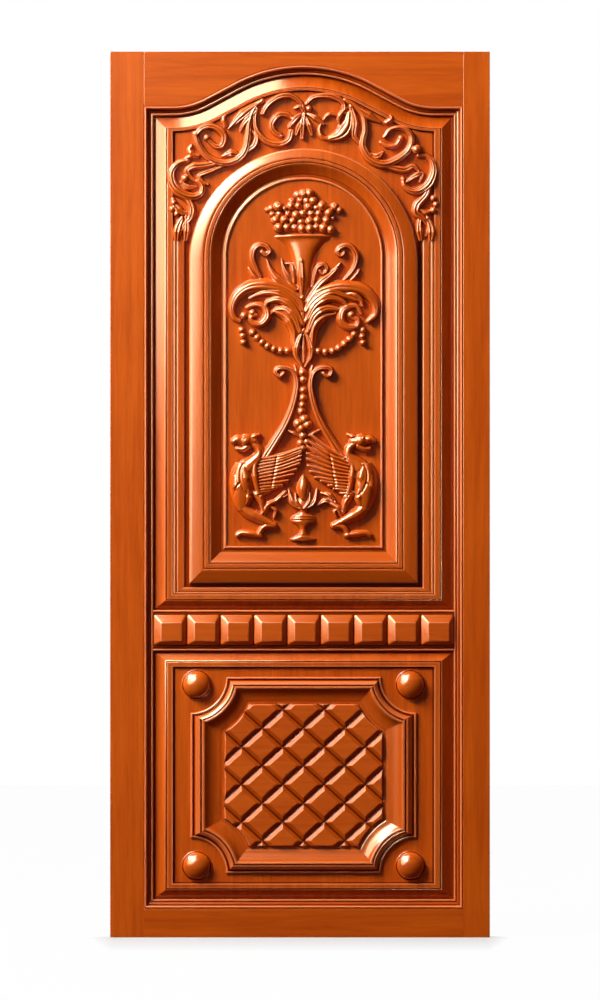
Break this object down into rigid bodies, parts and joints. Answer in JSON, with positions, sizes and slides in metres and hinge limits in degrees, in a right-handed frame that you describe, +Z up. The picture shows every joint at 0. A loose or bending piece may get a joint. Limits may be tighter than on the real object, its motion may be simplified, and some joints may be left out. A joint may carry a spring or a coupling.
{
  "type": "carved door leaf",
  "caption": "Frame-and-panel door leaf with an arched upper panel, planted mouldings, a band of studs, a diamond lattice and carved griffins, vase and scrolls.",
  "frame": {"origin": "middle of the leaf's foot, half way through its overall depth", "axes": "+Z up the leaf, -Y out of the carved face, +X to the right as seen from the carved face"},
  "size_m": [0.9, 0.0576, 2.1],
  "materials": {
    "frame": "gloss varnish over stained hardwood",
    "moulding": "gloss varnish over stained hardwood",
    "panel": "gloss varnish over stained hardwood",
    "stud": "gloss varnish over stained hardwood",
    "carving": "gloss varnish over stained hardwood"
  },
  "bodies": {
    "root": {"left_stile": "frame", "right_stile": "frame", "top_rail": "frame", "lock_rail": "frame", "bottom_rail": "frame", "left_bead": "moulding", "right_bead": "moulding", "top_bead": "moulding", "bottom_bead": "moulding", "band_board": "moulding", "arch_crown": "moulding", "arch_left": "moulding", "arch_right": "moulding", "arch_sill": "moulding", "slip_left": "moulding", "slip_right": "moulding", "slip_sill": "moulding", "lattice_left": "moulding", "lattice_right": "moulding", "lattice_top": "moulding", "lattice_bottom": "moulding", "lattice_corner_1": "moulding", "lattice_corner_2": "moulding", "lattice_corner_3": "moulding", "lattice_corner_4": "moulding", "upper_panel": "panel", "lower_panel": "panel", "lattice_board": "panel", "stud_1": "stud", "stud_2": "stud", "stud_3": "stud", "stud_4": "stud", "stud_5": "stud", "stud_6": "stud", "stud_7": "stud", "stud_8": "stud", "stud_9": "stud", "boss_1": "stud", "boss_2": "stud", "boss_3": "stud", "boss_4": "stud", "frieze": "carving", "fruit": "carving", "vase_spray": "carving", "swag_left": "carving", "swag_right": "carving", "bead_drop": "carving", "lyre": "carving", "griffin_left": "carving", "griffin_right": "carving", "urn": "carving"}
  },
  "joints": []
}
